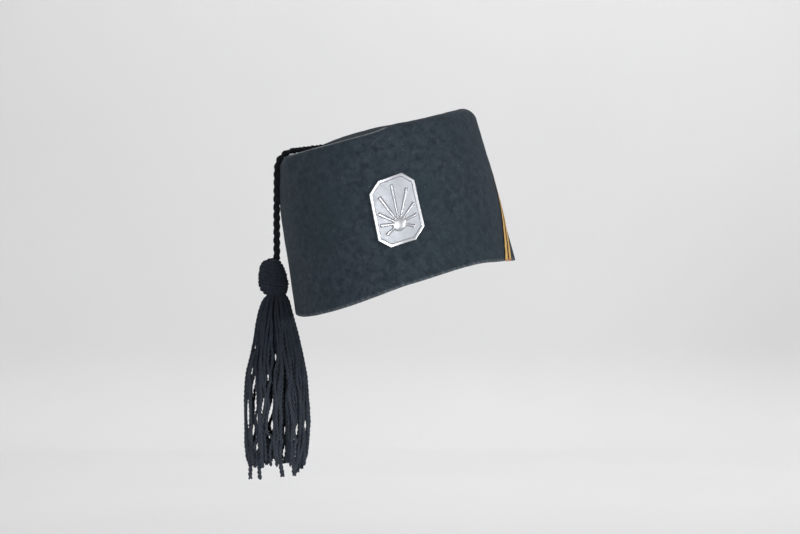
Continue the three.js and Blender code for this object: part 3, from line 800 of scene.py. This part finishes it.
def openUp(line):  # eases a strand aside, so that one can see through where the setup says
    eye, far = cameraSetup["place"][0], -cameraSetup["place"][1]
    for _ in range(3):
        for upperX, lowerX, upper, lower, wide in tasselSetup["openings"]:
            middle, tall = (upper + lower) / 2 * mm, (upper - lower) * mm
            down = line[:, 2] - middle
            strength = np.cos(np.clip(down / (1.05 * tall), -1, 1) * math.pi / 2) ** 2
            at = ((upperX + lowerX) / 2 + (upperX - lowerX) * np.clip(down / tall, -1, 1)) * mm
            gone = eye + (line[:, 0] - eye) * far / (far + line[:, 1]) - at
            side = 1.0 if np.interp(middle, line[::-1, 2], gone[::-1]) >= 0 else -1.0
            short = (0.4 * wide * mm + 0.46 * tasselSetup["yarn"]) * strength - gone * side
            line[:, 0] += side * 0.5 * (short + np.hypot(short, 0.12 * mm)) * np.minimum(1, strength * 4)
    return line


def makeSkirt():
    setup = tasselSetup
    strands = []
    for count, reach, each, stand in setup["locks"]:
        for place in range(count):
            turn = 2 * math.pi * (place + reach) / count
            swirl = dice.uniform(0, 6.28)
            for k in range(each):
                offset = (setup["lockWide"] * dice.uniform(0.8, 1.15),
                          setup["lockDeep"] * dice.uniform(0.7, 1.1),
                          swirl + 2 * math.pi * k / each, dice.uniform(-2.2, 2.2))
                line = strandLine(turn, reach, stand, offset, len(strands) * 1.7, place * 3.3 + reach)
                strands.append((reach, openUp(line)))
    hem = [(a * mm, b * mm) for a, b in setup["hem"]]
    ends = []
    for reach, line in strands:
        x = float(np.interp(-0.125, line[::-1, 2], line[::-1, 0]))
        shorter = mm * (dice.random() ** 1.6) * 9 + (0 if reach == 1 else 2 * mm)
        ends.append([x, readSmooth(hem, 1, x) + shorter])
    longOnes = set()
    for across, low in setup["longEnds"]:  # each takes the strand nearest there, best an outer one in front
        nearest = min(range(len(ends)), key=lambda k: abs(ends[k][0] - across * mm) + (strands[k][0] < 1) * mm
                      + abs(strands[k][1][-1, 1] - neck.y + 0.008) * 0.2)
        ends[nearest] = [9.0, low * mm]
        longOnes.add(nearest)
    made = {reach: [] for _, reach, _, _ in setup["locks"]}
    for k, (reach, line) in enumerate(strands):
        line = line[line[:, 2] >= ends[k][1]]
        drop = np.clip((neck.z - line[:, 2]) / setup["skirtLength"], 0, 1)
        left = line[:, 2] - line[-1, 2]
        size = (0.55 + 0.45 * eased(drop / 0.3)) * (0.96 + 0.2 * noise.noise(Vector((k * 0.7, 1, 1))))
        size *= setup["longYarn"] if k in longOnes else 1.0
        splay = 1 + 0.12 * eased(1 - left / (4 * mm))
        thin = 1 - 0.25 * eased(1 - left / (1.2 * mm))
        across, up = frameAlong(line, (1, 0, 0))
        for points in plied(line, across, up, size * splay * setup["yarn"] / 2, setup["twist"], 2, k * 2.3):
            made[reach].append((points, size * thin))
    pieces = [yarnPiece("tassel_strands_" + name, lines, setup["yarn"] * setup["ply"])
              for name, lines in zip(("outer", "inner"), made.values())]
    for piece in pieces:
        drops = (neck.z - coordinates(piece)[:, 2]) / setup["skirtLength"]
        # painted light: the strands turn lighter from a fifth of the way down, fully so at seven tenths
        addMask(piece, "paintedLightBelow", eased((drops - 0.2) / 0.5))
    return pieces


head = makeHead()
outerStrands, innerStrands = makeSkirt()
print(f"tassel made, {len(outerStrands.data.polygons) + len(innerStrands.data.polygons)} faces of yarn")


# Shader helpers
def feed(tree, made, values):  # each socket gets a link or a value
    for key, value in values.items():
        if isinstance(value, bpy.types.NodeSocket):
            tree.links.new(value, made.inputs[key])
        else:
            made.inputs[key].default_value = value
    return made


def node(tree, kind, values, **settings):
    made = tree.nodes.new("ShaderNode" + kind)
    for key, value in settings.items():
        setattr(made, key, value)
    return feed(tree, made, values).outputs


def group(name, inputs, outputs):
    tree = bpy.data.node_groups.new(name, "ShaderNodeTree")
    for label, kind, value in inputs:
        socket = tree.interface.new_socket(label, in_out="INPUT", socket_type="NodeSocket" + kind)
        if value is not None:
            socket.default_value = value
    for label, kind in outputs:
        tree.interface.new_socket(label, in_out="OUTPUT", socket_type="NodeSocket" + kind)
    return tree, tree.nodes.new("NodeGroupInput").outputs, tree.nodes.new("NodeGroupOutput")


def sums(tree, operation, a, b=0.0, clamp=False):
    return node(tree, "Math", {0: a, 1: b}, operation=operation, use_clamp=clamp)[0]


def times(tree, a, b, clamp=False):
    return sums(tree, "MULTIPLY", a, b, clamp)


def plus(tree, a, b, clamp=False):
    return sums(tree, "ADD", a, b, clamp)


def mixed(tree, share, a, b):
    return node(tree, "Mix", {"Factor": share, 6: a, 7: b}, data_type="RGBA")[2]


def remap(tree, value, low, high, to=(0.0, 1.0)):
    return node(tree, "MapRange", {0: value, 1: low, 2: high, 3: to[0], 4: to[1]})[0]


def clouds(tree, place, scale, detail, roughness=0.5, distortion=0.0, output=0):
    return node(tree, "TexNoise", {"Vector": place, "Scale": scale, "Detail": detail, "Roughness": roughness,
                                   "Distortion": distortion})[output]


def turned(tree, place, turn, scale):
    return node(tree, "Mapping", {"Vector": place, "Rotation": turn, "Scale": scale})[0]


def maskOf(tree, name):
    return node(tree, "Attribute", {}, attribute_name=name)["Fac"]


def bumped(tree, height, strength, distance):
    return node(tree, "Bump", {"Strength": strength, "Distance": distance, "Height": height})[0]


def material(name, values):
    made = bpy.data.materials.new(name)
    made.use_nodes = True
    tree = made.node_tree
    return made, tree, feed(tree, tree.nodes["Principled BSDF"], values), node(tree, "TexCoord", {})["Object"]


surface = [("Base Color", "Color"), ("Roughness", "Float"), ("Normal", "Vector")]


def covered(tree, shader, which, values):  # a shared surface feeds the shader
    made = node(tree, "Group", values, node_tree=which)
    feed(tree, shader, {label: made[label] for label, _ in surface})


def dress(finish, *pieces):
    for piece in pieces:
        piece.data.materials.clear()
        piece.data.materials.append(finish)


# Lint: short pale specks that cling to felt and yarn
lintGroup, given, result = group("lintSpecks", [
    ("Place", "Vector", None), ("Size", "Float", 1200.0), ("Amount", "Float", 0.06),
], [("Mask", "Float")])
bend = clouds(lintGroup, given["Place"], 900.0, 1.0, output="Color")
pull = node(lintGroup, "VectorMath", {0: bend, 3: 0.0012}, operation="SCALE")[0]
bentPlace = node(lintGroup, "VectorMath", {0: given["Place"], 1: pull}, operation="ADD")[0]
cells = node(lintGroup, "TexVoronoi", {"Vector": bentPlace, "Scale": given["Size"]})
chance = node(lintGroup, "SeparateColor", {0: cells["Color"]})[0]
chosen = sums(lintGroup, "LESS_THAN", chance, given["Amount"])
speck = remap(lintGroup, cells["Distance"], 0.34, 0.12)
feed(lintGroup, result, {"Mask": times(lintGroup, chosen, speck, True)})


def lintOn(tree, place, size, amount):
    return node(tree, "Group", {"Place": place, "Size": size, "Amount": amount}, node_tree=lintGroup)["Mask"]


# Yarn: fine fibres, in patches paler or darker, with some lint
yarnGroup, given, result = group("yarnFibre", [
    ("Place", "Vector", None), ("Deep Colour", "Color", (0.01, 0.01, 0.01, 1)),
    ("Lit Colour", "Color", (0.03, 0.03, 0.03, 1)), ("Lint Colour", "Color", (0.2, 0.2, 0.2, 1)),
    ("Fibre Scale", "Float", 2400.0), ("Patch Scale", "Float", 130.0), ("Bump", "Float", 0.4),
], surface)
fibre = clouds(yarnGroup, given["Place"], given["Fibre Scale"], 5.0, 0.65, 0.8)
patch = clouds(yarnGroup, given["Place"], given["Patch Scale"], 3.0)
share = times(yarnGroup, remap(yarnGroup, fibre, 0.32, 0.72), remap(yarnGroup, patch, 0.3, 0.7, (0.45, 1.0)))
tint = mixed(yarnGroup, share, given["Deep Colour"], given["Lit Colour"])
lint = lintOn(yarnGroup, given["Place"], 700.0, 0.012)
feed(yarnGroup, result, {
    "Base Color": mixed(yarnGroup, lint, tint, given["Lint Colour"]),
    "Roughness": remap(yarnGroup, fibre, 0.3, 0.7, (0.95, 0.78)),
    "Normal": bumped(yarnGroup, fibre, given["Bump"], 0.00025),
})

# Metal: fine casting grain, scratches, and painted shade in the hollows, where the tone is darker and rougher
metalGroup, given, result = group("metalWearAndHollowShade", [
    ("Place", "Vector", None), ("Raised", "Float", 1.0), ("Bright", "Color", (0.8, 0.8, 0.8, 1)),
    ("Hollow Shade", "Color", (0.5, 0.5, 0.5, 1)), ("Grain Scale", "Float", 2200.0), ("Polish", "Float", 0.22),
    ("Bump", "Float", 0.2),
], surface)
grain = clouds(metalGroup, given["Place"], given["Grain Scale"], 4.0, 0.6)
brushed = turned(metalGroup, given["Place"], (0.3, 0.7, 0.2), (260.0, 260.0, 5200.0))
streak = clouds(metalGroup, brushed, 1.0, 2.0)
stain = remap(metalGroup, clouds(metalGroup, given["Place"], 140.0, 4.0), 0.35, 0.7, (0.7, 1.0))
# painted shade: the lower the relief, the more of the darker colour, varied by a noise
hollowShade = times(metalGroup, sums(metalGroup, "SUBTRACT", 1.0, given["Raised"]), stain, True)
rough = plus(metalGroup, given["Polish"], times(metalGroup, hollowShade, 0.22))
relief = plus(metalGroup, times(metalGroup, grain, remap(metalGroup, hollowShade, 0, 1, (0.3, 1.6))),
              times(metalGroup, streak, 0.35))
feed(metalGroup, result, {
    "Base Color": mixed(metalGroup, hollowShade, given["Bright"], given["Hollow Shade"]),
    "Roughness": plus(metalGroup, rough, remap(metalGroup, streak, 0.4, 0.75, (0.0, 0.14))),
    "Normal": bumped(metalGroup, relief, given["Bump"], 0.00012),
})

# Felt: dark slate wool, mottled, with a short nap that lies in two directions, and some lint
feltLook = {
    "deep": shadeOf(26, 34, 42), "lit": shadeOf(60, 69, 77), "green": shadeOf(38, 53, 56),
    # the pale colour next paints wear on the cut rim and a highlight along the top edge's fold
    "rimWearAndFoldHighlight": shadeOf(150, 156, 160), "lint": shadeOf(104, 114, 122),
    "hairs": [  # how they are turned and drawn out, scale, detail, curl
        ((0.4, 0.2, 0.9), (1.0, 1.0, 0.28), 2300.0, 5.0, 2.2),
        ((1.1, 0.6, 2.1), (1.0, 0.3, 1.0), 2100.0, 4.0, 2.0),
    ],
}
felt, tree, shader, place = material("darkSlateFelt", {
    "Sheen Weight": 0.05, "Sheen Roughness": 0.5, "Sheen Tint": (0.75, 0.85, 0.95, 1),
    "Specular IOR Level": 0.12})
mottle = clouds(tree, place, 210.0, 6.0, 0.62, 0.6)
broad = clouds(tree, place, 22.0, 3.0)
nap = plus(tree, *(times(tree, clouds(tree, turned(tree, place, turn, drawn), scale, detail, 0.7, curl), 0.5)
                   for turn, drawn, scale, detail, curl in feltLook["hairs"]))
share = plus(tree, times(tree, remap(tree, mottle, 0.34, 0.66), 0.6),
             times(tree, remap(tree, nap, 0.38, 0.62), 0.4), True)
tone = mixed(tree, share, feltLook["deep"], feltLook["lit"])
tone = mixed(tree, remap(tree, broad, 0.45, 0.7, (0.0, 0.5)), tone, feltLook["green"])
# painted highlight: the pale colour along the top edge's fold, mixed with pale wear along the cut rim
rimWearAndFoldHighlight = times(tree, maskOf(tree, "rimWearAndFoldHighlight"), remap(tree, mottle, 0.35, 0.65, (0.5, 1.0)), True)
tone = mixed(tree, rimWearAndFoldHighlight, tone, feltLook["rimWearAndFoldHighlight"])
feed(tree, shader, {
    "Base Color": mixed(tree, times(tree, lintOn(tree, place, 620.0, 0.02), 0.6), tone, feltLook["lint"]),
    "Roughness": remap(tree, nap, 0.35, 0.65, (0.97, 0.82)),
    "Normal": bumped(tree, plus(tree, nap, times(tree, mottle, 0.9)), 0.55, 0.0005),
})
dress(felt, crown)

# Yarns of cord, head and skirt; the skirt's loose, fuzzy lower part gets a painted lighter tone for the light
# that its open strands catch
yarnLooks = [  # name, pieces, dark and lit colour, sheen, dark and lit colour painted on lower down, where the skirt hangs loose and catches more light
    ("cordYarn", (cord, knot), shadeOf(13, 14, 18), shadeOf(34, 36, 43), 0.04, None),
    ("tasselYarn", (outerStrands, innerStrands), shadeOf(22, 27, 35), shadeOf(50, 58, 69), 0.06,
     (shadeOf(34, 39, 47), shadeOf(80, 87, 98))),
    ("headYarn", (head,), shadeOf(22, 27, 35), shadeOf(52, 59, 70), 0.06, None),
]
for name, pieces, deep, lit, sheen, loose in yarnLooks:
    yarn, tree, shader, place = material(name, {
        "Sheen Weight": sheen, "Sheen Roughness": 0.4, "Specular IOR Level": 0.18})
    if loose:
        # painted light: lighter towards the bottom of the skirt
        deep, lit = (mixed(tree, maskOf(tree, "paintedLightBelow"), near, far) for near, far in zip((deep, lit), loose))
    covered(tree, shader, yarnGroup, {
        "Place": place, "Deep Colour": deep, "Lit Colour": lit, "Lint Colour": shadeOf(90, 98, 106)})
    dress(yarn, *pieces)

# Plaque and pin
metalLooks = [  # name, piece, colour of the painted shade in the hollows, grain scale, polish, bump
    ("satinSilver", badge, shadeOf(172, 176, 182), 2400.0, 0.31, 0.3),
    ("plainSteel", badgePin, shadeOf(140, 142, 146), 1600.0, 0.32, 0.2),
]
for name, piece, shadeTone, scale, polish, strength in metalLooks:
    metal, tree, shader, place = material(name, {"Metallic": 1.0})
    # the pin has no relief mask, so it gets the painted shade tone evenly, at up to four tenths
    raised = maskOf(tree, "raised") if piece == badge else 0.6
    covered(tree, shader, metalGroup, {
        "Place": place, "Raised": raised, "Bright": shadeOf(196, 198, 202), "Hollow Shade": shadeTone,
        "Grain Scale": scale, "Polish": polish, "Bump": strength})
    dress(metal, piece)

# Ribbon: gold, brown and gold stripes in a fine rib weave, with dark edges
ribbonLook = {
    "gold": shadeOf(246, 212, 136), "goldDeep": shadeOf(198, 154, 84), "brown": shadeOf(104, 56, 36),
    "brownDeep": shadeOf(50, 24, 16), "edge": shadeOf(40, 26, 22),
    "stripe": 0.125, "edgeShare": 0.05, "ribs": 26, "warps": 38,  # ribs in a ribbon's width of length
}


def stripeMask(tree, across, middle, half, soft=0.012):
    far = sums(tree, "ABSOLUTE", sums(tree, "SUBTRACT", across, middle))
    return remap(tree, far, half + soft, half - soft)


def waveOf(tree, along, count):
    return remap(tree, sums(tree, "SINE", times(tree, along, 2 * math.pi * count)), -1, 1)


weave, tree, shader, place = material("stripedRibbon", {"Specular IOR Level": 0.2})
uv = node(tree, "SeparateXYZ", {0: node(tree, "UVMap", {}, uv_map="UVMap")[0]})
across, along = uv[0], uv[1]
wove = plus(tree, times(tree, waveOf(tree, along, ribbonLook["ribs"]), 0.7),
            times(tree, waveOf(tree, across, ribbonLook["warps"]), 0.3))
lit = times(tree, wove, remap(tree, clouds(tree, place, 1900.0, 3.0), 0.3, 0.7, (0.65, 1.0)), True)
gold = mixed(tree, lit, ribbonLook["goldDeep"], ribbonLook["gold"])
brown = mixed(tree, lit, ribbonLook["brownDeep"], ribbonLook["brown"])
# the ribbon is made darker in a narrow band along each edge
darkEdgeBands = plus(tree, *(stripeMask(tree, across, edge, ribbonLook["edgeShare"]) for edge in (0.0, 1.0)), True)
stripes = mixed(tree, stripeMask(tree, across, 0.5, ribbonLook["stripe"]), gold, brown)
feed(tree, shader, {
    "Base Color": mixed(tree, darkEdgeBands, stripes, ribbonLook["edge"]),
    "Roughness": remap(tree, wove, 0, 1, (0.85, 0.6)),
    "Normal": bumped(tree, lit, 0.5, 0.0002),
})
dress(weave, ribbon)

cutThread, tree, shader, place = material("cutThreads", {"Sheen Weight": 0.2, "Roughness": 0.85})
fuzz = clouds(tree, place, 2600.0, 3.0)
light = mixed(tree, fuzz, shadeOf(150, 84, 52), shadeOf(214, 160, 104))
dark = mixed(tree, fuzz, shadeOf(72, 34, 28), shadeOf(124, 66, 48))
feed(tree, shader, {
    "Base Color": mixed(tree, stripeMask(tree, maskOf(tree, "acrossRibbon"), 0.5, 0.2), light, dark),
    "Normal": bumped(tree, fuzz, 0.4, 0.0001),
})
dress(cutThread, fray)
print("materials set")

# Floor and backdrop: one pale sweep of paper
stageSetup = {"floor": -0.427, "back": 3.0, "front": -10.0, "half": 10.0, "high": 3.4, "round": 0.17}
clearSelection()
bpy.ops.mesh.primitive_plane_add(size=1)
sweep = bpy.context.object
sweep.name = "paper_sweep"
sweep.scale = (2 * stageSetup["half"], stageSetup["back"] - stageSetup["front"], 1)
sweep.location = (0, (stageSetup["back"] + stageSetup["front"]) / 2, stageSetup["floor"])
placed(sweep)
backEdge = [v.index for v in sweep.data.vertices if abs(v.co.y - stageSetup["back"]) < mm]
editWhere(sweep, "EDGE", lambda edge: set(edge.vertices) == set(backEdge))
extruded(0, 0, stageSetup["high"])
objectMode()
curve = sweep.modifiers.new("round", "BEVEL")
curve.width, curve.segments = stageSetup["round"], 12
applyAll(sweep)
bpy.ops.object.shade_smooth()
paper, tree, shader, place = material("paleSweep", {"Roughness": 0.9, "Specular IOR Level": 0.2})
feed(tree, shader, {
    "Base Color": mixed(tree, clouds(tree, place, 3.0, 3.0), shadeOf(229, 229, 230), shadeOf(235, 235, 235))})
dress(paper, sweep)

# Light: two low soft boxes in front, a weak one above, one for the backdrop, and a pale room
lightSetup = {
    "boxes": [  # place, aim, size, power, degrees that its light fans out over
        ((-0.58, -2.6, 0.30), (0, 0, 0.02), 0.32, 3.1, 70),
        ((1.70, -1.95, 0.30), (0, 0, 0.02), 0.32, 4.0, 70),
        ((0.0, -1.0, 2.4), (0, 0, 0.02), 1.6, 3.0, 180),
        ((0.45, 2.0, 1.9), (0.3, 3.0, 0.75), 1.6, 27.0, 180),
    ],
    "room": (0.93, 0.93, 0.935), "roomStrength": 0.50,
}
for spot, aim, size, power, fan in lightSetup["boxes"]:
    bpy.ops.object.light_add(type="AREA", location=spot)
    box = bpy.context.object
    box.data.shape, box.data.size, box.data.energy, box.data.spread = "SQUARE", size, power, math.radians(fan)
    box.rotation_euler = (Vector(aim) - box.location).to_track_quat("-Z", "Y").to_euler()
world = bpy.data.worlds.new("paleRoom")
bpy.context.scene.world = world
world.use_nodes = True
feed(world.node_tree, world.node_tree.nodes["Background"], {
    "Color": (*lightSetup["room"], 1), "Strength": lightSetup["roomStrength"]})
bpy.context.scene.view_settings.view_transform = "Standard"
print("light and floor set")

# What each piece stands for and rides on
for piece, nodes, slot in [
    (crown, ["crown"], "felt"), (badge, ["badge"], "badge_metal"), (badgePin, ["badge_pin"], "pin_metal"),
    (ribbon, ["ribbon"], "ribbon_weave"), (fray, [], "ribbon_weave"), (knot, ["cord_knot"], "cord_yarn"),
    (cord, ["tassel_cord"], "cord_yarn"), (head, ["tassel"], "tassel_yarn"),
    (outerStrands, ["tassel"], "tassel_yarn"), (innerStrands, ["tassel"], "tassel_yarn"),
]:
    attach(piece, "root")
    if nodes:
        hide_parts(*nodes)
